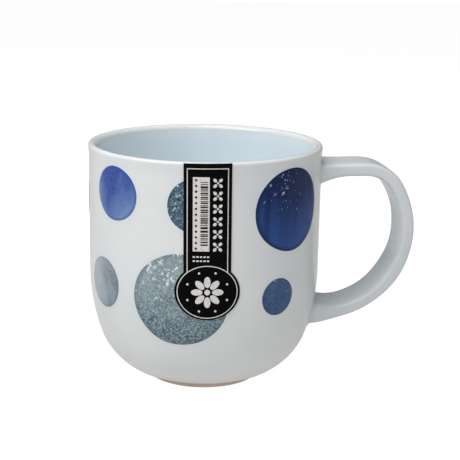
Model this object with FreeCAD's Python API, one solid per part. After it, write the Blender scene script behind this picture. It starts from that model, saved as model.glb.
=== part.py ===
import FreeCAD, Part
import math
import os
import random
from FreeCAD import Vector

# A hand-painted stoneware mug with a strap handle and a stuck-on paper label.
#
# All sizes are millimetres. The origin is the centre of the foot ring on the table, +Z runs up
# the cup's axis, and +X points to the handle. Angles round the cup are degrees from +X,
# anticlockwise seen from above.
#
# The cup is bare clay under a coat of white glaze outside and pale blue glaze inside. The strap
# handle is luted to the wall with slip. Twelve dots are painted on the coat, and the label lies
# over two of them.

os.makedirs("parts", exist_ok=True)

# Cup outside, over the glaze
HEIGHT = 98.5
LIP_RADIUS = 48.0
WALL_RADIUS = 47.7
LIP_FLARE_HEIGHT = 5.0
LIP_OUTER_ROUND = 1.2
LIP_INNER_ROUND = 2.4
CURVE_TOP = 46.0
UPPER_CURVE_RADIUS = 82.0
UPPER_CURVE_SWEEP = 18.5
LOWER_CURVE_RADIUS = 28.0
GLAZE_END_ANGLE = 59.5
CLAY_END_ANGLE = 76.0

# Cup inside and coats
WALL_THICKNESS = 3.5
FLOOR_TOP = 6.5
FLOOR_CURVE_RADIUS = 24.0
GLAZE = 0.5

# Foot: bare clay that stands a little under the glaze
BARE_INSET = 0.2
FOOT_RADIUS = 23.6
FOOT_RING_WIDTH = 3.6
RECESS_DEPTH = 2.4
RECESS_DRAFT = 0.5
FOOT_EDGE_ROUND = 0.6

# Handle centreline, in the XZ plane, from its upper end to its lower end
HANDLE_TOP = 87.9
HANDLE_ROOT_X = 40.0
TOP_RUN_END_X = 66.0
HANDLE_RADII = (15.5, 35.0, 86.0)
HANDLE_TURNS = (57.0, 107.0, 15.0)

# Handle section: a rounded strap, whose thickness changes along its length
STRAP_WIDTH = 19.5
STRAP_THICKNESS = ((0.0, 3.4), (0.15, 4.6), (0.3, 4.9), (0.5, 4.3), (1.0, 4.3))
STRAP_ROUNDNESS = 6.0
SECTION_POINTS = 40
SECTION_COUNT = 30

# Slip collars, where the handle's ends swell into the wall
COLLAR_LENGTH = 8.0
FLARE_REACH = 13.0
FLARE_INNER = 3.2
FLARE_OUTER = 0.4
FLARE_SIDE = 1.0

# Painted dots: angle round the cup, height, half width, half height, name
DOT_THICKNESS = 0.2
DOTS = (
    ("dot_navy_large", -50.8, 78.0, 17.4, 16.6),
    ("dot_navy_small", -58.1, 43.8, 7.7, 7.6),
    ("dot_teal_small", -100.6, 81.7, 10.4, 10.4),
    ("dot_teal_large", -107.2, 44.4, 18.9, 18.6),
    ("dot_blue_medium", -142.7, 83.2, 11.5, 10.8),
    ("dot_grey_medium", -152.6, 45.7, 10.2, 10.3),
    ("dot_navy_large_back", 159.0, 75.5, 16.8, 16.0),
    ("dot_teal_small_back", 157.0, 42.0, 8.0, 7.8),
    ("dot_blue_small_back", 112.0, 82.0, 9.6, 9.4),
    ("dot_teal_large_back", 108.0, 47.5, 17.8, 17.6),
    ("dot_grey_medium_back", 59.0, 78.0, 11.4, 11.0),
    ("dot_blue_medium_back", 55.0, 44.0, 10.4, 10.2),
)

# Label: layers stand on the glaze, from the inside out
LABEL_ANGLE = -94.2
LABEL_LEAN = 0.4
ADHESIVE_TOP = 0.3
PAPER_TOP = 0.45
WHITE_INK_TOP = 0.5
BLACK_INK_TOP = 0.55
STRIP_HALF_WIDTH = 9.1
STRIP_TOP = 98.2
MEDALLION_Z = 48.3
MEDALLION_HALF_WIDTH = 12.6
MEDALLION_HALF_HEIGHT = 11.2
LINE_WIDTH = 0.34
BORDER_HALF_WIDTH = 7.7
BORDER_TOP = 96.3
RING_HALF_WIDTH = 11.5
RING_HALF_HEIGHT = 10.4
PANEL_LEFT = -5.6
PANEL_RIGHT = 0.7
PANEL_BOTTOM = 64.5
PANEL_TOP = 93.1
BAR_LEFT = -2.7
BAR_RIGHT = 0.1
BAR_TOP = 91.3
BAR_MODULE = 0.27
BAR_MODULES = 95
BAR_WIDTHS = (1, 1, 2, 3)
BAR_GAPS = (1, 1, 2, 2)
BAR_ORDER_SEED = 4
PIP_COLUMN = -4.4
PIP_RADIUS = 0.45
PIP_COUNT = 13
MOTIF_COLUMN = 3.8
MOTIF_RADIUS = 2.3
MOTIF_PETALS = 4
MOTIF_PETAL_HALF_WIDTH = 0.6
MOTIF_START_ANGLE = 45.0
MOTIF_EYE_RADIUS = 0.42
MOTIF_COUNT = 6
MOTIF_BOTTOM = 63.9
DASH_ROWS = (62.6, 61.0)
DASH_COUNT = 5
DASH_LENGTH = 0.9
DASH_HEIGHT = 0.6
ROSETTE_PETALS = 8
ROSETTE_PETAL_REACH = 6.2
ROSETTE_PETAL_HALF_WIDTH = 1.25
ROSETTE_EYE_RADIUS = 1.1
ROSETTE_PIP_REACH = 8.2
PETAL_ROOT_SHARE = 0.3

FULL_TURN = 360.0
QUARTER_TURN = 90.0
AXIS_POINT = Vector(0, 0, 0)
UP = Vector(0, 0, 1)
TOWARD_FRONT = Vector(0, -1, 0)
SEAM_ANGLE = 28.0
CORE_REACH = 20.0
PRISM_LENGTH = 40.0

UPPER_CENTRE = Vector(WALL_RADIUS - UPPER_CURVE_RADIUS, 0, CURVE_TOP)


def polar(centre, radius, drop):
    """The point on a circle in the XZ plane whose radius points `drop` degrees below +X."""
    angle = math.radians(drop)
    return centre + Vector(radius * math.cos(angle), 0, -radius * math.sin(angle))


LOWER_CENTRE = polar(UPPER_CENTRE, UPPER_CURVE_RADIUS - LOWER_CURVE_RADIUS, UPPER_CURVE_SWEEP)
LIP_CREST = Vector(LIP_RADIUS - LIP_OUTER_ROUND, 0, HEIGHT)
OUTER_ROUND_CENTRE = LIP_CREST - Vector(0, 0, LIP_OUTER_ROUND)
INNER_ROUND_CENTRE = LIP_CREST - Vector(0, 0, LIP_INNER_ROUND)


def line(start, end):
    return Part.LineSegment(start, end).toShape()


def arc(centre, radius, drop_start, drop_end):
    """An arc in the XZ plane between two drop angles."""
    middle = (drop_start + drop_end) / 2
    points = [polar(centre, radius, drop) for drop in (drop_start, middle, drop_end)]
    return Part.Arc(*points).toShape()


def polyline(points):
    return [line(a, b) for a, b in zip(points, points[1:])]


def outside_edges(inset, end_angle):
    """The cup's outside from its lower end up to the lip's crest, `inset` under the glaze."""
    wall_low = Vector(WALL_RADIUS - inset, 0, CURVE_TOP)
    wall_high = Vector(WALL_RADIUS - inset, 0, HEIGHT - LIP_FLARE_HEIGHT)
    round_radius = LIP_OUTER_ROUND - inset
    shoulder = polar(OUTER_ROUND_CENTRE, round_radius, 0)
    return [
        arc(LOWER_CENTRE, LOWER_CURVE_RADIUS - inset, end_angle, UPPER_CURVE_SWEEP),
        arc(UPPER_CENTRE, UPPER_CURVE_RADIUS - inset, UPPER_CURVE_SWEEP, 0),
        line(wall_low, wall_high),
        line(wall_high, shoulder),
        arc(OUTER_ROUND_CENTRE, round_radius, 0, -90),
    ]


def inside_edges(inset):
    """The cup's inside from the lip's inner edge down to the axis, `inset` under the glaze."""
    radius = UPPER_CURVE_RADIUS - WALL_THICKNESS
    centre_drop = CURVE_TOP - FLOOR_TOP - FLOOR_CURVE_RADIUS
    tangent_drop = math.degrees(math.asin(centre_drop / (radius - FLOOR_CURVE_RADIUS)))
    floor_centre = polar(UPPER_CENTRE, radius - FLOOR_CURVE_RADIUS, tangent_drop)
    wall = WALL_RADIUS - WALL_THICKNESS + inset
    lip_edge = INNER_ROUND_CENTRE - Vector(LIP_INNER_ROUND - inset, 0, 0)
    wall_high = Vector(wall, 0, HEIGHT - LIP_FLARE_HEIGHT)
    wall_low = Vector(wall, 0, CURVE_TOP)
    floor_end = polar(floor_centre, FLOOR_CURVE_RADIUS + inset, 90)
    return [
        line(lip_edge, wall_high),
        line(wall_high, wall_low),
        arc(UPPER_CENTRE, radius + inset, 0, tangent_drop),
        arc(floor_centre, FLOOR_CURVE_RADIUS + inset, tangent_drop, 90),
        line(floor_end, Vector(0, 0, floor_end.z)),
    ]


def end_point(edges, last):
    """The free start or end of a chain of edges that run one after another."""
    edge = edges[-1] if last else edges[0]
    return edge.valueAt(edge.LastParameter if last else edge.FirstParameter)


def revolved(edges):
    """The solid that a closed outline beside the axis sweeps round it, its seam clear of all else."""
    wire = Part.Wire(Part.__sortEdges__(edges))
    solid = Part.Face(wire).revolve(AXIS_POINT, UP, FULL_TURN)
    solid.rotate(AXIS_POINT, UP, SEAM_ANGLE)
    return solid


def lip_inside(inset):
    return arc(INNER_ROUND_CENTRE, LIP_INNER_ROUND - inset, -90, -180)


def core(outset):
    """Everything within the cup's outside, lip to foot, `outset` out from the glaze."""
    outline = outside_edges(-outset, GLAZE_END_ANGLE)
    low = end_point(outline, False)
    high = end_point(outline, True)
    closing = polyline([high, Vector(0, 0, high.z), Vector(0, 0, low.z), low])
    return revolved(outline + closing)


def skin(inner_outset, outer_outset):
    """A shell that follows the cup's outside, between two distances out from the glaze."""
    inner = outside_edges(-inner_outset, GLAZE_END_ANGLE)
    outer = outside_edges(-outer_outset, GLAZE_END_ANGLE)
    ends = [line(end_point(inner, last), end_point(outer, last)) for last in (False, True)]
    return revolved(inner + outer + ends)


# Cup


def cup_body():
    bare_radius = LOWER_CURVE_RADIUS - BARE_INSET
    bare = arc(LOWER_CENTRE, bare_radius, CLAY_END_ANGLE, GLAZE_END_ANGLE)
    covered = outside_edges(GLAZE, GLAZE_END_ANGLE)
    shoulder = line(end_point([bare], True), end_point(covered, False))
    outside = [bare, shoulder] + covered
    inside = inside_edges(GLAZE)
    ring_inside = FOOT_RADIUS - FOOT_RING_WIDTH
    foot = polyline(
        [
            end_point(inside, True),
            Vector(0, 0, RECESS_DEPTH),
            Vector(ring_inside - RECESS_DRAFT, 0, RECESS_DEPTH),
            Vector(ring_inside, 0, 0),
            Vector(FOOT_RADIUS, 0, 0),
            end_point([bare], False),
        ]
    )
    body = revolved(outside + [lip_inside(GLAZE)] + inside + foot)
    ring_edges = [edge for edge in body.Edges if edge.BoundBox.ZMax < FOOT_EDGE_ROUND / 2]
    return body.makeFillet(FOOT_EDGE_ROUND, ring_edges)


def outer_glaze(handle_clay):
    """The white coat: over the lip and down the wall, open where the handle's clay passes."""
    outer = outside_edges(0, GLAZE_END_ANGLE) + [lip_inside(0)]
    inner = outside_edges(GLAZE, GLAZE_END_ANGLE) + [lip_inside(GLAZE)]
    ends = [line(end_point(outer, last), end_point(inner, last)) for last in (False, True)]
    return revolved(outer + inner + ends).cut(handle_clay)


def liner_glaze():
    surface = inside_edges(0)
    back = inside_edges(GLAZE)
    ends = [line(end_point(surface, last), end_point(back, last)) for last in (False, True)]
    return revolved(surface + back + ends)


def base_glaze():
    """The coat on the ceiling of the recess inside the foot ring."""
    radius = FOOT_RADIUS - FOOT_RING_WIDTH - 2 * RECESS_DRAFT
    return Part.makeCylinder(radius, GLAZE, Vector(0, 0, RECESS_DEPTH - GLAZE), UP)


# Handle


def handle_path():
    """The centreline's edges: a straight top run and three arcs that turn down and back."""
    here = Vector(TOP_RUN_END_X, 0, HANDLE_TOP)
    edges = [line(Vector(HANDLE_ROOT_X, 0, HANDLE_TOP), here)]
    start = -QUARTER_TURN
    for radius, turn in zip(HANDLE_RADII, HANDLE_TURNS):
        centre = here - polar(AXIS_POINT, radius, start)
        edges.append(arc(centre, radius, start, start + turn))
        start += turn
        here = polar(centre, radius, start)
    return edges


def interpolate(table, position):
    """The value at `position` on straight lines between a table's rising points."""
    for (low, before), (high, after) in zip(table, table[1:]):
        if position <= high:
            return before + (after - before) * (position - low) / (high - low)
    return table[-1][1]


def place_on_path(edges, distance):
    """The point and the direction of travel at a distance along the centreline."""
    edge = edges[0]
    for following in edges[1:]:
        if distance <= edge.Length:
            break
        distance -= edge.Length
        edge = following
    parameter = edge.getParameterByLength(min(distance, edge.Length))
    return edge.valueAt(parameter), edge.tangentAt(parameter)


def strap_section(edges, share, flare, grow):
    """A closed section of the strap: flare is 1 with the swelling at the wall, or 0 without."""
    length = sum(edge.Length for edge in edges)
    centre, along = place_on_path(edges, share * length)
    outward = Vector(-along.z, 0, along.x)
    from_wall = max(math.hypot(centre.x, centre.y) - WALL_RADIUS, 0) / FLARE_REACH
    swell = flare * max(1 - from_wall, 0) ** 2
    half = interpolate(STRAP_THICKNESS, share) / 2 + grow
    half_width = STRAP_WIDTH / 2 + grow + FLARE_SIDE * swell
    points = []
    for step in range(SECTION_POINTS):
        angle = 2 * math.pi * step / SECTION_POINTS
        reach = math.cos(angle)
        side = math.sin(angle)
        swelling = FLARE_OUTER if reach > 0 else FLARE_INNER
        across = math.copysign(abs(reach) ** (2 / STRAP_ROUNDNESS), reach)
        sideways = math.copysign(abs(side) ** (2 / STRAP_ROUNDNESS), side)
        offset = outward * (across * (half + swelling * swell))
        points.append(centre + offset + Vector(0, sideways * half_width, 0))
    curve = Part.BSplineCurve()
    curve.interpolate(points, PeriodicFlag=True)
    return Part.Wire(curve.toShape())


def strap(flare, grow):
    """The whole strap, `grow` larger all round than its clay."""
    edges = handle_path()
    shares = [index / (SECTION_COUNT - 1) for index in range(SECTION_COUNT)]
    sections = [strap_section(edges, share, flare, grow) for share in shares]
    return Part.makeLoft(sections, True)


def root_solids():
    """The flared ends of the strap, upper then lower, cut off COLLAR_LENGTH from the wall."""
    flared = strap(1, 0)
    reach = WALL_RADIUS + COLLAR_LENGTH
    near_wall = Part.makeCylinder(reach, HEIGHT, AXIS_POINT, UP)
    return sorted(flared.common(near_wall).Solids, key=lambda solid: -solid.CenterOfMass.z)


# Dots and label


def outward(angle):
    return Vector(math.cos(math.radians(angle)), math.sin(math.radians(angle)), 0)


def facing(shape, angle):
    """Turns a flat shape drawn in the XZ plane, at Y = 0, to face out from the cup's axis."""
    turned = shape.copy()
    turned.translate(Vector(0, -CORE_REACH, 0))
    turned.rotate(AXIS_POINT, UP, angle + QUARTER_TURN)
    return turned.extrude(outward(angle) * PRISM_LENGTH)


def oval(centre_x, centre_z, half_width, half_height):
    """A flat ellipse or circle in the XZ plane."""
    if half_width == half_height:
        curve = Part.Circle(AXIS_POINT, TOWARD_FRONT, half_width)
    else:
        curve = Part.Ellipse(AXIS_POINT, max(half_width, half_height), min(half_width, half_height))
    face = Part.Face(Part.Wire(curve.toShape()))
    if half_width != half_height:
        face.rotate(AXIS_POINT, Vector(1, 0, 0), QUARTER_TURN)
        if half_height > half_width:
            face.rotate(AXIS_POINT, TOWARD_FRONT, QUARTER_TURN)
    face.translate(Vector(centre_x, 0, centre_z))
    return face


def box(left, right, bottom, top):
    """A flat rectangle in the XZ plane."""
    corners = [
        Vector(left, 0, bottom),
        Vector(right, 0, bottom),
        Vector(right, 0, top),
        Vector(left, 0, top),
        Vector(left, 0, bottom),
    ]
    return Part.Face(Part.Wire(polyline(corners)))


def painted_dot(angle, height, half_width, half_height):
    prism = facing(oval(0, height, half_width, half_height), angle)
    return skin(0, DOT_THICKNESS).common(prism)


def label_layer(faces, inner, outer):
    """The label's flat shapes laid on the cup, between two distances out from the glaze."""
    lean_centre = Vector(0, 0, MEDALLION_Z)
    shell = skin(inner, outer)
    solids = []
    for face in faces:
        leaning = face.copy()
        leaning.rotate(lean_centre, TOWARD_FRONT, LABEL_LEAN)
        solids += shell.common(facing(leaning, LABEL_ANGLE)).Solids
    return solids


def label_outline():
    """The strip and the oval medallion at its lower end, as one flat shape."""
    strip = box(-STRIP_HALF_WIDTH, STRIP_HALF_WIDTH, MEDALLION_Z, STRIP_TOP)
    medallion = oval(0, MEDALLION_Z, MEDALLION_HALF_WIDTH, MEDALLION_HALF_HEIGHT)
    return strip.fuse(medallion).removeSplitter().Faces[0]


def ring(grow):
    return oval(0, MEDALLION_Z, RING_HALF_WIDTH + grow, RING_HALF_HEIGHT + grow)


def border():
    """The thin line inside the strip's edge, and the ring in the medallion that it runs into."""
    half = LINE_WIDTH / 2
    outer = box(-BORDER_HALF_WIDTH - half, BORDER_HALF_WIDTH + half, MEDALLION_Z, BORDER_TOP + half)
    inner = box(-BORDER_HALF_WIDTH + half, BORDER_HALF_WIDTH - half, MEDALLION_Z, BORDER_TOP - half)
    frame = outer.cut(inner)
    return frame.fuse(ring(half)).cut(ring(-half)).removeSplitter().Faces


def petals(centre_x, centre_z, count, reach, half_width, start):
    """Oval petals spaced evenly round a centre from a start angle, clear of each other."""
    shapes = []
    root = reach * PETAL_ROOT_SHARE
    for index in range(count):
        turn = start + FULL_TURN * index / count
        petal = oval((root + reach) / 2, 0, (reach - root) / 2, half_width)
        petal.rotate(AXIS_POINT, TOWARD_FRONT, turn)
        petal.translate(Vector(centre_x, 0, centre_z))
        shapes.append(petal)
    return shapes


def motif_column():
    """A column of four-petalled flowers, the plain ornament that fills the strip's right side."""
    span = PANEL_TOP - MOTIF_BOTTOM - 2 * MOTIF_RADIUS
    pitch = span / (MOTIF_COUNT - 1)
    shapes = []
    for index in range(MOTIF_COUNT):
        height = MOTIF_BOTTOM + MOTIF_RADIUS + pitch * index
        sizes = (MOTIF_PETALS, MOTIF_RADIUS, MOTIF_PETAL_HALF_WIDTH, MOTIF_START_ANGLE)
        shapes += petals(MOTIF_COLUMN, height, *sizes)
        shapes.append(oval(MOTIF_COLUMN, height, MOTIF_EYE_RADIUS, MOTIF_EYE_RADIUS))
    return shapes


def rosette():
    """The flower in the medallion, with a pip between the tips of each two petals."""
    shapes = petals(0, MEDALLION_Z, ROSETTE_PETALS, ROSETTE_PETAL_REACH, ROSETTE_PETAL_HALF_WIDTH, 0)
    shapes.append(oval(0, MEDALLION_Z, ROSETTE_EYE_RADIUS, ROSETTE_EYE_RADIUS))
    for index in range(ROSETTE_PETALS):
        angle = math.radians(FULL_TURN * (index + 0.5) / ROSETTE_PETALS)
        across = ROSETTE_PIP_REACH * math.cos(angle)
        rise = ROSETTE_PIP_REACH * math.sin(angle)
        shapes.append(oval(across, MEDALLION_Z + rise, PIP_RADIUS, PIP_RADIUS))
    return shapes


def dashes():
    """Two rows of short dashes under the panel."""
    pitch = (PANEL_RIGHT - PANEL_LEFT - DASH_LENGTH) / (DASH_COUNT - 1)
    shapes = []
    for row in DASH_ROWS:
        for index in range(DASH_COUNT):
            left = PANEL_LEFT + pitch * index
            shapes.append(box(left, left + DASH_LENGTH, row - DASH_HEIGHT, row))
    return shapes


def bars():
    """Level strokes of one to three modules, in a made-up order."""
    order = random.Random(BAR_ORDER_SEED)
    shapes = []
    used = 0
    while used < BAR_MODULES - max(BAR_WIDTHS):
        stroke = order.choice(BAR_WIDTHS)
        gap = order.choice(BAR_GAPS)
        top = BAR_TOP - used * BAR_MODULE
        shapes.append(box(BAR_LEFT, BAR_RIGHT, top - stroke * BAR_MODULE, top))
        used += stroke + gap
    return shapes


def pips():
    """A column of round pips beside the bars."""
    pitch = (PANEL_TOP - PANEL_BOTTOM) / PIP_COUNT
    heights = [PANEL_BOTTOM + pitch * (index + 0.5) for index in range(PIP_COUNT)]
    return [oval(PIP_COLUMN, height, PIP_RADIUS, PIP_RADIUS) for height in heights]


def export(name, shape):
    if not shape.isValid() or shape.Volume <= 0:
        raise ValueError(f"{name} is not a valid solid")
    solids = shape.Solids
    Part.Compound(solids).exportStep(f"parts/{name}.step")
    bounds = shape.BoundBox
    print(f"{name}: {len(solids)} solids, {shape.Volume:.1f} mm3, X {bounds.XMin:.1f}..{bounds.XMax:.1f}")


clay_core = core(-GLAZE)
coat_core = core(0)
bare_strap = strap(0, 0)
upper_root, lower_root = root_solids()
handle_clay = bare_strap.fuse([upper_root, lower_root])

export("cup_body", cup_body())
export("outer_glaze", outer_glaze(handle_clay))
export("liner_glaze", liner_glaze())
export("base_glaze", base_glaze())
export("handle", bare_strap.cut(clay_core))
export("upper_slip_joint", upper_root.cut(bare_strap).cut(clay_core))
export("lower_slip_joint", lower_root.cut(bare_strap).cut(clay_core))
export("handle_glaze", strap(1, GLAZE).cut(coat_core).cut(handle_clay))

dots = []
for name, angle, height, half_width, half_height in DOTS:
    dot = painted_dot(angle, height, half_width, half_height)
    dots.append(dot)
    export(name, dot)

outline = label_outline()
adhesive = Part.Compound(label_layer([outline], 0, ADHESIVE_TOP)).cut(dots)
export("label_adhesive", adhesive)
export("label_paper", Part.Compound(label_layer([outline], ADHESIVE_TOP, PAPER_TOP)))
panel = [box(PANEL_LEFT, PANEL_RIGHT, PANEL_BOTTOM, PANEL_TOP)]
ornament = border() + panel + motif_column() + rosette() + dashes()
export("label_white_ink", Part.Compound(label_layer(ornament, PAPER_TOP, WHITE_INK_TOP)))
export("label_black_ink", Part.Compound(label_layer(bars() + pips(), WHITE_INK_TOP, BLACK_INK_TOP)))
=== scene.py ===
import math
import bpy
from mathutils import Matrix, Vector, noise


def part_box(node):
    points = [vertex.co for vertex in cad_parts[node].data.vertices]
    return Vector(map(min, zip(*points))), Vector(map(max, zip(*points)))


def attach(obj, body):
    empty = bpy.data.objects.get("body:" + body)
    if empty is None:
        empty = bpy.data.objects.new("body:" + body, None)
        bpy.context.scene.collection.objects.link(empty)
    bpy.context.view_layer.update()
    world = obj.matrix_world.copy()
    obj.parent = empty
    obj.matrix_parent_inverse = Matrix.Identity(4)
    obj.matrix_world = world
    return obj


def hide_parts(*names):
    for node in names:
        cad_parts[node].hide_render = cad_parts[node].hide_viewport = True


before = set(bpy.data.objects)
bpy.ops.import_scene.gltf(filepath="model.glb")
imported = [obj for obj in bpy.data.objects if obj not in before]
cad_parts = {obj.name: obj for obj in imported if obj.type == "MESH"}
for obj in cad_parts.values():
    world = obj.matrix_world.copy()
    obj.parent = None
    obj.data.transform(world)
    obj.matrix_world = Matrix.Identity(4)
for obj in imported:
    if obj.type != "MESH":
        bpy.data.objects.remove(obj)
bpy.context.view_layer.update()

# Lengths are in metres. The cup's own sizes repeat the CAD model's driving dimensions.
MM = 0.001
HEIGHT = 98.5 * MM
LIP_RADIUS = 48.0 * MM
WALL_RADIUS = 47.7 * MM
LIP_FLARE_HEIGHT = 5.0 * MM
LIP_OUTER_ROUND = 1.2 * MM
LIP_INNER_ROUND = 2.4 * MM
CURVE_TOP = 46.0 * MM
UPPER_CURVE_RADIUS = 82.0 * MM
UPPER_CURVE_SWEEP = 18.5
LOWER_CURVE_RADIUS = 28.0 * MM
GLAZE_END_ANGLE = 59.5
WALL_THICKNESS = 3.5 * MM
FLOOR_TOP = 6.5 * MM
FLOOR_CURVE_RADIUS = 24.0 * MM
GLAZE = 0.5 * MM

# Handle, as in the CAD model but with the glaze on; its ends stop nearer the wall's surface
HANDLE_TOP = 87.9 * MM
HANDLE_ROOT_X = 44.0 * MM
TOP_RUN_END_X = 66.0 * MM
HANDLE_RADII = (15.5 * MM, 35.0 * MM, 86.0 * MM)
HANDLE_TURNS = (57.0, 107.0, 13.0)
STRAP_WIDTH = 20.5 * MM
STRAP_THICKNESS = ((0.0, 4.4 * MM), (0.15, 5.6 * MM), (0.3, 5.9 * MM), (0.5, 5.3 * MM), (1.0, 5.3 * MM))
STRAP_ROUNDNESS = 6.0
FLARE_REACH = 13.0 * MM
FLARE_INNER = 3.2 * MM
FLARE_OUTER = 0.4 * MM
FLARE_SIDE = 1.0 * MM
ROOT_FILLET = 1.0 * MM
ROOT_DEPTH = 1.5 * MM
HANDLE_STEP = 1.2 * MM
ROOT_STEP = 0.3 * MM
ROOT_FINE_LENGTH = 5.0 * MM
HANDLE_SIDES = 96
HAND_UNEVENNESS = 0.25 * MM
HAND_WAVES = 60.0
HAND_SEED = 3.1

# Painted dots
DOT_RISE = 0.24 * MM
DOT_RINGS = 26
DOT_SECTORS = 120
DOT_WOBBLE = 0.012
WOBBLE_LOOP = 1.6
DOT_EDGE_SHARPNESS = 14
BRUSH_RELIEF = 0.05 * MM
BRUSH_WAVES_ACROSS = 500.0
BRUSH_WAVES_ALONG = 160.0
BRUSH_EDGE_FADE = 6
SEED_PER_TURN = 7.0
SEED_PER_METRE = 900.0
SEED_PER_DOT = 0.37

# Camera, in the frame's own axes
FOCAL_LENGTH = 93.0
SENSOR_WIDTH = 36.0
CAMERA_AZIMUTH = math.radians(-7.0)
CAMERA_PITCH = math.radians(13.84)
CAMERA_ROLL = math.radians(1.04)
CAMERA_DISTANCE = 500.0 * MM
CAMERA_RIGHT = 10.83 * MM
CAMERA_UP = 12.14 * MM
AIM_HEIGHT = 48.5 * MM

# Glaze: each kind's light and deep colour, and how pigment and clay tint the white
GLAZE_ROUGHNESS = 0.09
WHITE_GLAZE = ((0.81, 0.82, 0.815), (0.76, 0.78, 0.785))
LINER_GLAZE = ((0.81, 0.885, 0.93), (0.76, 0.845, 0.895))
# The handle's glaze is the white glaze made darker and bluer: painted shade and a painted bluish
# reflection
SHADED_HANDLE_GLAZE = ((0.715, 0.755, 0.77), (0.66, 0.70, 0.72))
POOL_SCALE = 28.0
PIT_SCALE = 900.0
WAVE_SCALE = 60.0
WAVE_WEIGHT = 6.0
PEEL_SCALE = 420.0
PEEL_RELIEF = 0.02 * MM
BLEED_SHARE = 0.45
BLEED_REACH = 1.2 * MM
BLEED_COLOUR = (0.66, 0.73, 0.79)
THIN_COLOUR = (0.77, 0.68, 0.61)
THIN_SHARE = 0.55
THIN_REACH = 3.0 * MM

# Bare clay
CLAY_TONES = ((0.3, (0.66, 0.53, 0.45)), (0.55, (0.74, 0.61, 0.54)), (0.75, (0.79, 0.69, 0.63)))
CLAY_GRAIN_COLOUR = (0.80, 0.72, 0.66)
CLAY_TONE_SCALE = 90.0
CLAY_GRAIN_SCALE = 2600.0
CLAY_RELIEF = 0.05 * MM

# Paint
PAINT_ROUGHNESS = 0.28
PAINT_SPECULAR = 0.15
PAINT_TONE_SCALE = 80.0
PAINT_RELIEF = 0.05 * MM
# Painted highlights on the paint: size, clumping and thinning of the white glint spots put into its
# colour
PAINTED_GLINT_SCALE = 800.0
PAINTED_GLINT_CLUMP_SCALE = 190.0
PAINTED_GLINT_CLUMP_WEIGHT = 0.35
PAINTED_GLINT_THINNING = -0.12

# Studio: each lamp's azimuth and elevation in degrees, distance, size, watts and colour
DOME_STRENGTH = 0.25
BACKDROP_STRENGTH = 1.05
FLOOR_HALF_WIDTH = 3.0
FLOOR_GLOW = 0.9
FLOOR_BOUNCE = 0.42
LAMPS = {
    "key_light": (-58.0, 46.0, 0.9, (0.45, 0.45), 2.7, (1.0, 1.0, 0.99)),
    "top_light": (-30.0, 76.0, 0.9, (0.5, 0.5), 3.3, (1.0, 1.0, 1.0)),
    "fill_light": (4.0, 24.0, 1.1, (0.5, 0.7), 0.9, (1.0, 1.0, 1.0)),
    "glint_light": (-18.0, 52.0, 0.9, (0.4, 0.03), 1.3, (1.0, 1.0, 1.0)),
}

FULL_TURN = 2 * math.pi
WALL_SECTORS = 288
FLOOR_EYE_RADIUS = 0.2 * MM


def polar(centre, radius, drop):
    """A point (radius, height) on a profile circle; its spoke points `drop` degrees below outward."""
    angle = math.radians(drop)
    return (centre[0] + radius * math.cos(angle), centre[1] - radius * math.sin(angle))


UPPER_CENTRE = (WALL_RADIUS - UPPER_CURVE_RADIUS, CURVE_TOP)
LOWER_CENTRE = polar(UPPER_CENTRE, UPPER_CURVE_RADIUS - LOWER_CURVE_RADIUS, UPPER_CURVE_SWEEP)
INNER_CURVE_RADIUS = UPPER_CURVE_RADIUS - WALL_THICKNESS
FLOOR_ARC_DROP = CURVE_TOP - FLOOR_TOP - FLOOR_CURVE_RADIUS
FLOOR_TANGENT = math.degrees(math.asin(FLOOR_ARC_DROP / (INNER_CURVE_RADIUS - FLOOR_CURVE_RADIUS)))
FLOOR_CENTRE = polar(UPPER_CENTRE, INNER_CURVE_RADIUS - FLOOR_CURVE_RADIUS, FLOOR_TANGENT)
CREST_RADIUS = LIP_RADIUS - LIP_OUTER_ROUND
LIP_INSIDE = CREST_RADIUS - LIP_INNER_ROUND


# Shape helpers


def wall_radius(height):
    """The radius of the cup's outside at a height, over the glaze."""
    flare_start = HEIGHT - LIP_FLARE_HEIGHT
    if height > flare_start:
        share = (height - flare_start) / (LIP_FLARE_HEIGHT - LIP_OUTER_ROUND)
        return WALL_RADIUS + (LIP_RADIUS - WALL_RADIUS) * min(share, 1.0)
    if height >= CURVE_TOP:
        return WALL_RADIUS
    drop = CURVE_TOP - height
    if drop <= UPPER_CURVE_RADIUS * math.sin(math.radians(UPPER_CURVE_SWEEP)):
        return UPPER_CENTRE[0] + math.sqrt(UPPER_CURVE_RADIUS**2 - drop**2)
    drop = LOWER_CENTRE[1] - height
    return LOWER_CENTRE[0] + math.sqrt(max(LOWER_CURVE_RADIUS**2 - drop**2, 0.0))


def arc_points(centre, radius, start, end, count):
    """Profile points along an arc, its last point left out."""
    return [polar(centre, radius, start + (end - start) * step / count) for step in range(count)]


def run_points(start, end, count):
    """Profile points along a straight run, its last point left out."""
    shares = [step / count for step in range(count)]
    return [tuple(a + (b - a) * share for a, b in zip(start, end)) for share in shares]


def grid_faces(rows, columns):
    """Quads between rows of points that each close on themselves."""
    faces = []
    for row in range(rows - 1):
        for column in range(columns):
            following = (column + 1) % columns
            low = row * columns
            high = low + columns
            faces.append((low + column, low + following, high + following, high + column))
    return faces


def add_piece(name, points, faces, material, slot, *nodes):
    """A smooth mesh piece that rides with the mug and stands for the named CAD nodes."""
    mesh = bpy.data.meshes.new(name)
    mesh.from_pydata(points, [], faces)
    mesh.materials.append(material)
    for polygon in mesh.polygons:
        polygon.use_smooth = True
    mesh.update()
    piece = bpy.data.objects.new(name, mesh)
    bpy.context.scene.collection.objects.link(piece)
    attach(piece, "root")
    if nodes:
        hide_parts(*nodes)
    return piece


def add_attribute(piece, name, values):
    """A number for each of a piece's points, which its material can read."""
    attribute = piece.data.attributes.new(name, "FLOAT", "POINT")
    attribute.data.foreach_set("value", values)


def turned(profile, sectors):
    """A profile of (radius, height) points swept round the cup's axis."""
    points = []
    for radius, height in profile:
        for sector in range(sectors):
            angle = FULL_TURN * sector / sectors
            points.append((radius * math.cos(angle), radius * math.sin(angle), height))
    return points


# Material helpers


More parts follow.
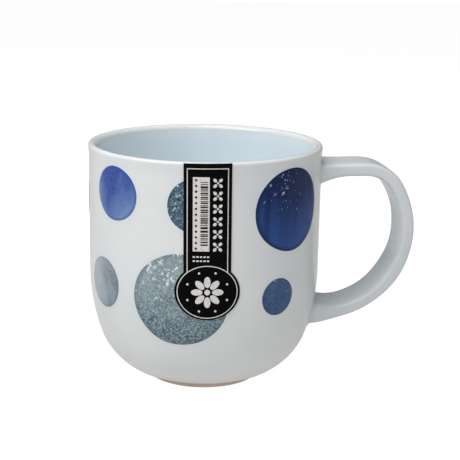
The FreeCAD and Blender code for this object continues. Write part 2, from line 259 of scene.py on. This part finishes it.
def add_node(tree, kind, settings=None, inputs=None):
    """A node with its settings and inputs; an input that is a socket is linked, else it is set."""
    node = tree.nodes.new(kind)
    for name, value in (settings or {}).items():
        setattr(node, name, value)
    for name, value in (inputs or {}).items():
        if isinstance(value, bpy.types.NodeSocket):
            tree.links.new(value, node.inputs[name])
        else:
            node.inputs[name].default_value = value
    return node


def new_surface(name, roughness, specular=0.5):
    """A material and its Principled shader, with the numbers that are the same all over."""
    material = bpy.data.materials.new(name)
    material.use_nodes = True
    shader = material.node_tree.nodes["Principled BSDF"]
    shader.inputs["Roughness"].default_value = roughness
    shader.inputs["Specular IOR Level"].default_value = specular
    return material, material.node_tree, shader


def place(tree, stretch=(1.0, 1.0, 1.0)):
    """Positions on the mug, in metres, stretched along its axes."""
    coordinates = add_node(tree, "ShaderNodeTexCoord")
    mapping = add_node(tree, "ShaderNodeMapping", {}, {"Vector": coordinates.outputs["Object"]})
    mapping.inputs["Scale"].default_value = stretch
    return mapping.outputs["Vector"]


def noise_value(tree, vector, scale, detail=3.0, roughness=0.5, distortion=0.0):
    inputs = {"Vector": vector, "Scale": scale, "Detail": detail, "Roughness": roughness}
    inputs["Distortion"] = distortion
    return add_node(tree, "ShaderNodeTexNoise", {}, inputs).outputs["Fac"]


def ramp(tree, value, stops):
    """A colour or grey that follows a value; each stop is a position and a colour."""
    node = add_node(tree, "ShaderNodeValToRGB", {}, {"Fac": value})
    elements = node.color_ramp.elements
    while len(elements) < len(stops):
        elements.new(1.0)
    for element, (position, colour) in zip(elements, stops):
        element.position = position
        element.color = (*colour, 1.0)
    return node.outputs["Color"]


def grey(level):
    return (level, level, level)


def mix_colour(tree, share, first, second, blend="MIX"):
    node = add_node(tree, "ShaderNodeMix", {"data_type": "RGBA", "blend_type": blend})
    for index, value in ((0, share), (6, first), (7, second)):
        if isinstance(value, bpy.types.NodeSocket):
            tree.links.new(value, node.inputs[index])
        else:
            node.inputs[index].default_value = value if index == 0 else (*value, 1.0)
    return node.outputs[2]


def maths(tree, operation, *values):
    node = add_node(tree, "ShaderNodeMath", {"operation": operation})
    for index, value in enumerate(values):
        if isinstance(value, bpy.types.NodeSocket):
            tree.links.new(value, node.inputs[index])
        else:
            node.inputs[index].default_value = value
    return node.outputs["Value"]


def read_attribute(tree, name):
    return add_node(tree, "ShaderNodeAttribute", {"attribute_name": name}).outputs["Fac"]


def add_bump(tree, shader, height, depth, strength=1.0):
    """Relief on the shader's surface; `depth` is the height of a full step, in metres."""
    inputs = {"Height": height, "Distance": depth, "Strength": strength}
    bump = add_node(tree, "ShaderNodeBump", {}, inputs)
    tree.links.new(bump.outputs["Normal"], shader.inputs["Normal"])


def glaze_material(name, colours):
    """Glossy glaze that pools and thins over centimetres, with a fine orange-peel surface.

    Pigment tints it where the point attribute "bleed" says, and the clay shows through where
    "thin" says.
    """
    material, tree, shader = new_surface(name, GLAZE_ROUGHNESS)
    light, deep = colours
    where = place(tree)
    clouds = noise_value(tree, where, POOL_SCALE, 4.0, 0.55)
    colour = ramp(tree, clouds, ((0.35, deep), (0.65, light)))
    pits = noise_value(tree, where, PIT_SCALE, 2.0)
    colour = mix_colour(tree, ramp(tree, pits, ((0.72, grey(0.0)), (0.8, grey(0.5)))), colour, deep)
    colour = mix_colour(tree, read_attribute(tree, "bleed"), colour, BLEED_COLOUR)
    colour = mix_colour(tree, read_attribute(tree, "thin"), colour, THIN_COLOUR)
    tree.links.new(colour, shader.inputs["Base Color"])
    waves = maths(tree, "MULTIPLY", noise_value(tree, where, WAVE_SCALE, 1.0), WAVE_WEIGHT)
    peel = noise_value(tree, where, PEEL_SCALE, 2.0)
    add_bump(tree, shader, maths(tree, "ADD", waves, peel), PEEL_RELIEF)
    return material


def clay_material():
    """Bare fired stoneware: warm, dry and grainy."""
    material, tree, shader = new_surface("bare_stoneware", 0.85, 0.3)
    where = place(tree)
    tone = noise_value(tree, where, CLAY_TONE_SCALE, 5.0, 0.6)
    colour = ramp(tree, tone, CLAY_TONES)
    grains = noise_value(tree, where, CLAY_GRAIN_SCALE, 2.0)
    grain_share = ramp(tree, grains, ((0.55, grey(0.0)), (0.7, grey(0.6))))
    colour = mix_colour(tree, grain_share, colour, CLAY_GRAIN_COLOUR)
    tree.links.new(colour, shader.inputs["Base Color"])
    add_bump(tree, shader, grains, CLAY_RELIEF)
    return material


def paint_material(name, paint, seed):
    """Brushed glaze paint: pooled at the rim, toned across the dot and grainy, with painted highlights
    crowded in one place.
    """
    material, tree, shader = new_surface(name, PAINT_ROUGHNESS, PAINT_SPECULAR)
    offset = {0: place(tree, paint["brush"]), 1: (seed, seed, seed)}
    where = add_node(tree, "ShaderNodeVectorMath", {"operation": "ADD"}, offset).outputs["Vector"]
    across = read_attribute(tree, "across")
    up = read_attribute(tree, "up")
    broad = noise_value(tree, where, PAINT_TONE_SCALE, 4.0, 0.55, 0.6)
    slope_across, slope_up = paint["slope"]
    tone = maths(tree, "MULTIPLY_ADD", up, slope_up, broad)
    tone = maths(tree, "MULTIPLY_ADD", across, slope_across, tone)
    colour = ramp(tree, tone, ((0.3, paint["dark"]), (0.7, paint["light"])))
    grain = noise_value(tree, place(tree), paint["grain_scale"], 2.0, 0.6)
    speckle = ramp(tree, grain, ((0.40, grey(0.0)), (0.62, grey(paint["grain"]))))
    colour = mix_colour(tree, speckle, colour, paint["grain_colour"])
    edge = ramp(tree, read_attribute(tree, "reach"), ((0.88, grey(0.0)), (0.97, grey(paint["pool"]))))
    colour = mix_colour(tree, edge, colour, paint["rim"])
    # painted highlight: white glint spots put into the paint's colour; the same mask also goes into the
    # bump below
    painted_glints = painted_glint_mask(tree, paint, where, across, up)
    colour = mix_colour(tree, painted_glints, colour, paint["painted_glint_colour"])
    tree.links.new(colour, shader.inputs["Base Color"])
    relief = maths(tree, "ADD", broad, maths(tree, "ADD", grain, painted_glints))
    add_bump(tree, shader, relief, PAINT_RELIEF)
    return material


def painted_glint_mask(tree, paint, where, across, up):
    """Painted highlights: white glints of the lamps on the bumpy paint, crowded round one place on the
    dot and thinning out away from it.
    """
    centre_across, centre_up = paint["painted_glint_centre"]
    from_across = maths(tree, "POWER", maths(tree, "SUBTRACT", across, centre_across), 2.0)
    from_up = maths(tree, "POWER", maths(tree, "SUBTRACT", up, centre_up), 2.0)
    away = maths(tree, "SQRT", maths(tree, "ADD", from_across, from_up))
    crowd = maths(tree, "MULTIPLY_ADD", away, PAINTED_GLINT_THINNING, paint["painted_glints"])
    spots = noise_value(tree, place(tree, (1.0, 1.0, 0.8)), PAINTED_GLINT_SCALE, 3.0, 0.6, 0.3)
    clumps = noise_value(tree, place(tree), PAINTED_GLINT_CLUMP_SCALE, 1.0)
    spots = maths(tree, "MULTIPLY_ADD", clumps, PAINTED_GLINT_CLUMP_WEIGHT, spots)
    return ramp(tree, maths(tree, "ADD", spots, crowd), ((0.88, grey(0.0)), (0.98, grey(0.95))))


def label_paper_material():
    """Coated black paper with faint fibres and scuffs."""
    material, tree, shader = new_surface("black_label_paper", 0.6, 0.04)
    where = place(tree)
    fibres = noise_value(tree, where, 1500.0, 3.0, 0.6, 1.5)
    scuffs = noise_value(tree, where, 160.0, 4.0, 0.7)
    base = ramp(tree, fibres, ((0.3, grey(0.001)), (0.7, grey(0.004))))
    worn = ramp(tree, scuffs, ((0.62, grey(0.0)), (0.8, grey(0.25))))
    tree.links.new(mix_colour(tree, worn, base, (0.016, 0.016, 0.018)), shader.inputs["Base Color"])
    add_bump(tree, shader, fibres, 0.01 * MM)
    return material


def ink_material(name, solid, thin):
    """Printed ink that lies a little unevenly on the paper."""
    material, tree, shader = new_surface(name, 0.55, 0.3)
    cover = noise_value(tree, place(tree), 1100.0, 3.0, 0.6)
    tree.links.new(ramp(tree, cover, ((0.3, thin), (0.5, solid))), shader.inputs["Base Color"])
    return material


def adhesive_material():
    material, tree, shader = new_surface("label_adhesive_film", 0.3)
    cover = noise_value(tree, place(tree), 500.0, 2.0)
    colour = ramp(tree, cover, ((0.3, (0.10, 0.10, 0.10)), (0.7, (0.16, 0.16, 0.155))))
    tree.links.new(colour, shader.inputs["Base Color"])
    return material


# Cup


def dot_place(node):
    """A dot's middle angle and height, and its flat half width and half height, from the CAD."""
    low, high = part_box(node)
    first = math.atan2(low.y + high.y, low.x + high.x)
    spread = Matrix.Rotation(-first, 3, "Z")
    angles = []
    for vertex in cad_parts[node].data.vertices:
        point = spread @ vertex.co
        angles.append(math.atan2(point.y, point.x))
    middle = first + (max(angles) + min(angles)) / 2
    half_width = WALL_RADIUS * math.sin((max(angles) - min(angles)) / 2)
    return middle, (low.z + high.z) / 2, half_width, (high.z - low.z) / 2


def on_wall(angle, across, height, lift):
    """The point `lift` over the glaze, `across` to the right of a line at an angle round the cup."""
    radius = wall_radius(height)
    turn = angle + math.asin(max(min(across / radius, 1.0), -1.0))
    return ((radius + lift) * math.cos(turn), (radius + lift) * math.sin(turn), height)


def glazed_wall(dots):
    foot = polar(LOWER_CENTRE, LOWER_CURVE_RADIUS, GLAZE_END_ANGLE)
    foot_inside = polar(LOWER_CENTRE, LOWER_CURVE_RADIUS - GLAZE, GLAZE_END_ANGLE)
    crest = HEIGHT - LIP_INNER_ROUND
    low = (WALL_RADIUS, CURVE_TOP)
    flare = (WALL_RADIUS, HEIGHT - LIP_FLARE_HEIGHT)
    shoulder = (LIP_RADIUS, HEIGHT - LIP_OUTER_ROUND)
    profile = run_points(foot_inside, foot, 3)
    profile += arc_points(LOWER_CENTRE, LOWER_CURVE_RADIUS, GLAZE_END_ANGLE, UPPER_CURVE_SWEEP, 40)
    profile += arc_points(UPPER_CENTRE, UPPER_CURVE_RADIUS, UPPER_CURVE_SWEEP, 0.0, 26)
    profile += run_points(low, flare, 46)
    profile += run_points(flare, shoulder, 6)
    profile += arc_points((CREST_RADIUS, shoulder[1]), LIP_OUTER_ROUND, 0.0, -90.0, 8)
    profile += arc_points((CREST_RADIUS, crest), LIP_INNER_ROUND, -90.0, -180.0, 10)
    profile.append((LIP_INSIDE, crest))
    points = turned(profile, WALL_SECTORS)
    material = glaze_material("white_glaze", WHITE_GLAZE)
    faces = grid_faces(len(profile), WALL_SECTORS)
    piece = add_piece("glazed_wall", points, faces, material, "white_glaze", "outer_glaze")
    add_attribute(piece, "bleed", [bleed_at(Vector(point), dots) for point in points])
    above_end = [point[2] - foot[1] for point in points]
    add_attribute(piece, "thin", [THIN_SHARE * math.exp(-rise / THIN_REACH) for rise in above_end])
    return material


def bleed_at(point, dots):
    """How much pigment has run out of the nearest dot into the white glaze at a point."""
    strongest = 0.0
    for middle, height, half_width, half_height in dots:
        turn = math.atan2(point.y, point.x) - middle
        if math.cos(turn) > 0:
            radius = math.hypot(point.x, point.y)
            reach = math.hypot(radius * math.sin(turn) / half_width, (point.z - height) / half_height)
            gap = (reach - 1.0) * (half_width + half_height) / 2
            strongest = max(strongest, math.exp(-max(gap, 0.0) / BLEED_REACH))
    return BLEED_SHARE * strongest


def liner():
    crest = HEIGHT - LIP_INNER_ROUND
    wall = WALL_RADIUS - WALL_THICKNESS
    profile = run_points((LIP_INSIDE, crest), (wall, HEIGHT - LIP_FLARE_HEIGHT - GLAZE), 4)
    profile += run_points((wall, HEIGHT - LIP_FLARE_HEIGHT - GLAZE), (wall, CURVE_TOP), 40)
    profile += arc_points(UPPER_CENTRE, INNER_CURVE_RADIUS, 0.0, FLOOR_TANGENT, 20)
    profile += arc_points(FLOOR_CENTRE, FLOOR_CURVE_RADIUS, FLOOR_TANGENT, 90.0, 36)
    profile += run_points((FLOOR_CENTRE[0], FLOOR_TOP), (FLOOR_EYE_RADIUS, FLOOR_TOP), 16)
    profile.append((FLOOR_EYE_RADIUS, FLOOR_TOP))
    points = turned(profile, WALL_SECTORS)
    faces = grid_faces(len(profile), WALL_SECTORS)
    last = (len(profile) - 1) * WALL_SECTORS
    faces.append(tuple(range(last, last + WALL_SECTORS)))
    material = glaze_material("liner_glaze", LINER_GLAZE)
    add_piece("liner", points, faces, material, "liner_glaze", "liner_glaze")


# Handle


def handle_line():
    """The handle's centreline: (start, length, radius, centre, start heading) for each stretch."""
    stretches = [((HANDLE_ROOT_X, HANDLE_TOP), TOP_RUN_END_X - HANDLE_ROOT_X, None, None, 0.0)]
    here = (TOP_RUN_END_X, HANDLE_TOP)
    heading = 0.0
    for radius, turn in zip(HANDLE_RADII, HANDLE_TURNS):
        centre = (here[0] - radius * math.sin(heading), here[1] - radius * math.cos(heading))
        sweep = math.radians(turn)
        stretches.append((here, radius * sweep, radius, centre, heading))
        heading += sweep
        here = (centre[0] + radius * math.sin(heading), centre[1] + radius * math.cos(heading))
    return stretches


def along_handle(stretches, distance):
    """The centreline's point and its heading below level, at a distance from its upper end."""
    stretch = stretches[0]
    for following in stretches[1:]:
        if distance <= stretch[1]:
            break
        distance -= stretch[1]
        stretch = following
    start, length, radius, centre, heading = stretch
    if radius is None:
        return Vector((start[0] + distance, 0.0, start[1])), heading
    heading += distance / radius
    across = centre[0] + radius * math.sin(heading)
    up = centre[1] + radius * math.cos(heading)
    return Vector((across, 0.0, up)), heading


def interpolate(table, position):
    """The value at `position` on straight lines between a table's rising points."""
    for (low, before), (high, after) in zip(table, table[1:]):
        if position <= high:
            return before + (after - before) * (position - low) / (high - low)
    return table[-1][1]


def kept_in_wall(point):
    """The point, or if it lies deeper than ROOT_DEPTH under the cup's surface, the place just there."""
    radius = math.hypot(point.x, point.y)
    least = wall_radius(point.z) - ROOT_DEPTH
    if radius >= least:
        return point
    return Vector((point.x * least / radius, point.y * least / radius, point.z))


def root_fillet(gap):
    """How far the surface swells as it meets the wall, for a gap left to the wall."""
    left = max(gap, 0.0)
    if left >= ROOT_FILLET:
        return 0.0
    return ROOT_FILLET - math.sqrt(ROOT_FILLET**2 - (ROOT_FILLET - left) ** 2)


def handle_ring(stretches, distance, length):
    """One closed ring of points round the handle."""
    centre, heading = along_handle(stretches, distance)
    outward = Vector((math.sin(heading), 0.0, math.cos(heading)))
    from_wall = max(centre.x - WALL_RADIUS, 0.0) / FLARE_REACH
    swell = max(1.0 - from_wall, 0.0) ** 2
    half = interpolate(STRAP_THICKNESS, distance / length) / 2
    half_width = STRAP_WIDTH / 2 + FLARE_SIDE * swell
    hand = HAND_UNEVENNESS * noise.noise(Vector((distance * HAND_WAVES, HAND_SEED, 0.0)))
    ring = []
    for side in range(HANDLE_SIDES):
        angle = FULL_TURN * side / HANDLE_SIDES
        across = math.copysign(abs(math.cos(angle)) ** (2 / STRAP_ROUNDNESS), math.cos(angle))
        sideways = math.copysign(abs(math.sin(angle)) ** (2 / STRAP_ROUNDNESS), math.sin(angle))
        swelling = FLARE_OUTER if across > 0 else FLARE_INNER
        offset = outward * (across * (half + hand + swelling * swell))
        point = centre + offset + Vector((0.0, sideways * (half_width + hand), 0.0))
        gap = math.hypot(point.x, point.y) - wall_radius(point.z)
        direction = (outward * math.cos(angle) + Vector((0.0, math.sin(angle), 0.0))).normalized()
        ring.append(kept_in_wall(point + direction * root_fillet(gap)))
    return ring


def handle_skin():
    stretches = handle_line()
    length = sum(stretch[1] for stretch in stretches)
    distances = [0.0]
    while distances[-1] < length:
        near_end = min(distances[-1], length - distances[-1]) < ROOT_FINE_LENGTH
        distances.append(distances[-1] + (ROOT_STEP if near_end else HANDLE_STEP))
    distances[-1] = length
    points = []
    for distance in distances:
        points += handle_ring(stretches, distance, length)
    faces = grid_faces(len(distances), HANDLE_SIDES)
    # the white glaze, darkened and tinted blue as painted shade and painted reflection
    material = glaze_material("handle_glaze", SHADED_HANDLE_GLAZE)
    add_piece("handle_skin", points, faces, material, "white_glaze", "handle_glaze")


# Dots


def painted_dot(node, shape, material, slot):
    """A raised, slightly uneven round of paint that follows the wall."""
    middle, height, half_width, half_height = shape
    seed = middle * SEED_PER_TURN + height * SEED_PER_METRE
    points = []
    places = {"reach": [], "across": [], "up": []}
    for ring in range(DOT_RINGS + 1):
        share = math.sin(0.5 * math.pi * ring / DOT_RINGS)
        rise = DOT_RISE * (1.0 - share**DOT_EDGE_SHARPNESS) ** 0.5
        for sector in range(DOT_SECTORS):
            angle = FULL_TURN * sector / DOT_SECTORS
            around = Vector((math.cos(angle) * WOBBLE_LOOP, math.sin(angle) * WOBBLE_LOOP, seed))
            wobble = 1.0 + DOT_WOBBLE * (noise.noise(around) * share - 0.5)
            across = half_width * share * wobble * math.cos(angle)
            up = half_height * share * wobble * math.sin(angle)
            stroke = Vector((across * BRUSH_WAVES_ACROSS, up * BRUSH_WAVES_ALONG, seed))
            lift = rise + BRUSH_RELIEF * noise.noise(stroke) * (1.0 - share**BRUSH_EDGE_FADE)
            points.append(on_wall(middle, across, height + up, lift))
            places["reach"].append(share)
            places["across"].append(across / half_width)
            places["up"].append(up / half_height)
    faces = grid_faces(DOT_RINGS + 1, DOT_SECTORS)
    piece = add_piece(node + "_paint", points, faces, material, slot, node)
    for name, values in places.items():
        add_attribute(piece, name, values)


# Studio


def stage_floor():
    """A pale glowing sheet, as of a light table: near white to the camera, softer on the mug."""
    mesh = bpy.data.meshes.new("studio_floor")
    half = FLOOR_HALF_WIDTH
    corners = [(-half, -half, 0.0), (half, -half, 0.0), (half, half, 0.0), (-half, half, 0.0)]
    mesh.from_pydata(corners, [], [(0, 1, 2, 3)])
    floor = bpy.data.objects.new("studio_floor", mesh)
    bpy.context.scene.collection.objects.link(floor)
    material, tree, shader = new_surface("studio_floor", 0.9, 0.0)
    shader.inputs["Base Color"].default_value = (0.3, 0.3, 0.3, 1.0)
    shader.inputs["Emission Color"].default_value = (1.0, 1.0, 1.0, 1.0)
    seen = add_node(tree, "ShaderNodeLightPath")
    extra = FLOOR_GLOW - FLOOR_BOUNCE
    glow = maths(tree, "MULTIPLY_ADD", seen.outputs["Is Camera Ray"], extra, FLOOR_BOUNCE)
    tree.links.new(glow, shader.inputs["Emission Strength"])
    mesh.materials.append(material)


def studio_world():
    world = bpy.data.worlds.new("studio_world")
    world.use_nodes = True
    bpy.context.scene.world = world
    tree = world.node_tree
    background = tree.nodes["Background"]
    background.inputs["Color"].default_value = (0.95, 0.98, 1.0, 1.0)
    background.inputs["Strength"].default_value = DOME_STRENGTH
    backdrop_inputs = {"Color": (1.0, 1.0, 1.0, 1.0), "Strength": BACKDROP_STRENGTH}
    backdrop = add_node(tree, "ShaderNodeBackground", {}, backdrop_inputs)
    seen = add_node(tree, "ShaderNodeLightPath")
    blend = add_node(tree, "ShaderNodeMixShader")
    tree.links.new(seen.outputs["Is Camera Ray"], blend.inputs[0])
    tree.links.new(background.outputs[0], blend.inputs[1])
    tree.links.new(backdrop.outputs[0], blend.inputs[2])
    tree.links.new(blend.outputs[0], tree.nodes["World Output"].inputs["Surface"])


def softbox(name, azimuth, elevation, distance, size, watts, colour):
    """A square lamp that looks at the mug; azimuth is from the camera's side, rising to the right."""
    lamp = bpy.data.lights.new(name, "AREA")
    lamp.shape = "RECTANGLE"
    lamp.size, lamp.size_y = size
    lamp.energy = watts
    lamp.color = colour
    piece = bpy.data.objects.new(name, lamp)
    bpy.context.scene.collection.objects.link(piece)
    turn = CAMERA_AZIMUTH + math.radians(azimuth)
    level = math.cos(math.radians(elevation))
    rise = math.sin(math.radians(elevation))
    aim = Vector((0.0, 0.0, AIM_HEIGHT))
    spot = aim + distance * Vector((math.sin(turn) * level, -math.cos(turn) * level, rise))
    piece.location = spot
    piece.rotation_euler = (aim - spot).to_track_quat("-Z", "Y").to_euler()


def add_camera():
    """The camera turns round the mug by azimuth and pitch, rolls a little and shifts its aim."""
    camera = bpy.data.cameras.new("camera")
    camera.lens = FOCAL_LENGTH
    camera.sensor_width = SENSOR_WIDTH
    camera.clip_start = 0.01
    piece = bpy.data.objects.new("camera", camera)
    bpy.context.scene.collection.objects.link(piece)
    upright = Matrix.Rotation(math.pi / 2 - CAMERA_PITCH, 3, "X")
    turn = Matrix.Rotation(CAMERA_AZIMUTH, 3, "Z") @ upright @ Matrix.Rotation(CAMERA_ROLL, 3, "Z")
    offset = turn @ Vector((CAMERA_RIGHT, CAMERA_UP, CAMERA_DISTANCE))
    piece.matrix_world = Matrix.Translation(Vector((0.0, 0.0, AIM_HEIGHT)) + offset) @ turn.to_4x4()
    bpy.context.scene.camera = piece


# In each paint the last three entries set its painted highlights: how many white glints, where they
# crowd, and their colour
PAINTS = {
    "navy_large": {
        "rim": (0.008, 0.020, 0.070),
        "dark": (0.004, 0.014, 0.075),
        "light": (0.028, 0.080, 0.29),
        "brush": (1.0, 1.0, 0.3),
        "slope": (0.0, -0.3),
        "grain": 0.12,
        "grain_scale": 900.0,
        "grain_colour": (0.04, 0.11, 0.36),
        "pool": 0.8,
        "painted_glints": 0.10,
        "painted_glint_centre": (-0.35, 0.5),
        "painted_glint_colour": (0.55, 0.66, 0.86),
    },
    "navy_small": {
        "rim": (0.035, 0.075, 0.18),
        "dark": (0.028, 0.060, 0.17),
        "light": (0.075, 0.14, 0.29),
        "brush": (1.0, 1.0, 0.5),
        "slope": (0.05, 0.0),
        "grain": 0.3,
        "grain_scale": 900.0,
        "grain_colour": (0.12, 0.22, 0.34),
        "pool": 0.6,
        "painted_glints": 0.11,
        "painted_glint_centre": (0.3, 0.6),
        "painted_glint_colour": (0.50, 0.62, 0.78),
    },
    "teal_large": {
        "rim": (0.09, 0.16, 0.20),
        "dark": (0.075, 0.12, 0.145),
        "light": (0.24, 0.30, 0.325),
        "brush": (1.0, 1.0, 0.7),
        "slope": (-0.05, 0.34),
        "grain": 0.85,
        "grain_scale": 1150.0,
        "grain_colour": (0.36, 0.45, 0.50),
        "pool": 0.5,
        "painted_glints": 0.19,
        "painted_glint_centre": (-0.25, 0.7),
        "painted_glint_colour": (0.86, 0.91, 0.93),
    },
    "teal_small": {
        "rim": (0.025, 0.06, 0.10),
        "dark": (0.018, 0.045, 0.075),
        "light": (0.050, 0.100, 0.140),
        "brush": (1.0, 1.0, 0.7),
        "slope": (0.0, 0.05),
        "grain": 0.62,
        "grain_scale": 1150.0,
        "grain_colour": (0.19, 0.31, 0.38),
        "pool": 0.5,
        "painted_glints": 0.15,
        "painted_glint_centre": (-0.4, 0.3),
        "painted_glint_colour": (0.80, 0.88, 0.92),
    },
    "blue_medium": {
        "rim": (0.045, 0.085, 0.30),
        "dark": (0.030, 0.070, 0.33),
        "light": (0.165, 0.27, 0.52),
        "brush": (1.0, 1.0, 0.6),
        "slope": (0.08, -0.18),
        "grain": 0.12,
        "grain_scale": 1000.0,
        "grain_colour": (0.26, 0.36, 0.58),
        "pool": 0.5,
        "painted_glints": 0.07,
        "painted_glint_centre": (-0.5, 0.75),
        "painted_glint_colour": (0.62, 0.70, 0.86),
    },
    "grey_medium": {
        "rim": (0.17, 0.22, 0.25),
        "dark": (0.44, 0.49, 0.56),
        "light": (0.17, 0.22, 0.25),
        "brush": (1.0, 1.0, 0.6),
        "slope": (0.18, 0.0),
        "grain": 0.4,
        "grain_scale": 1150.0,
        "grain_colour": (0.40, 0.46, 0.52),
        "pool": 0.4,
        "painted_glints": 0.05,
        "painted_glint_centre": (0.4, 0.6),
        "painted_glint_colour": (0.80, 0.84, 0.87),
    },
}
PAINTS["blue_small"] = PAINTS["blue_medium"]

dot_nodes = sorted(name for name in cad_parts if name.startswith("dot_"))
dot_shapes = {node: dot_place(node) for node in dot_nodes}

white = glazed_wall(dot_shapes.values())
liner()
handle_skin()
for index, node in enumerate(dot_nodes):
    _, tint, size = node.split("_")[:3]
    material = paint_material(node, PAINTS[tint + "_" + size], index * SEED_PER_DOT)
    painted_dot(node, dot_shapes[node], material, tint + "_paint")

clay = clay_material()
kept = {
    "cup_body": clay,
    "handle": clay,
    "upper_slip_joint": clay,
    "lower_slip_joint": clay,
    "base_glaze": white,
    "label_adhesive": adhesive_material(),
    "label_paper": label_paper_material(),
    "label_white_ink": ink_material("white_ink", (0.78, 0.75, 0.73), (0.60, 0.58, 0.56)),
    "label_black_ink": ink_material("black_ink", (0.006, 0.006, 0.006), (0.02, 0.02, 0.02)),
}
for node, material in kept.items():
    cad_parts[node].data.materials.clear()
    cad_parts[node].data.materials.append(material)

stage_floor()
studio_world()
for name, settings in LAMPS.items():
    softbox(name, *settings)
add_camera()
bpy.context.scene.view_settings.view_transform = "Standard"
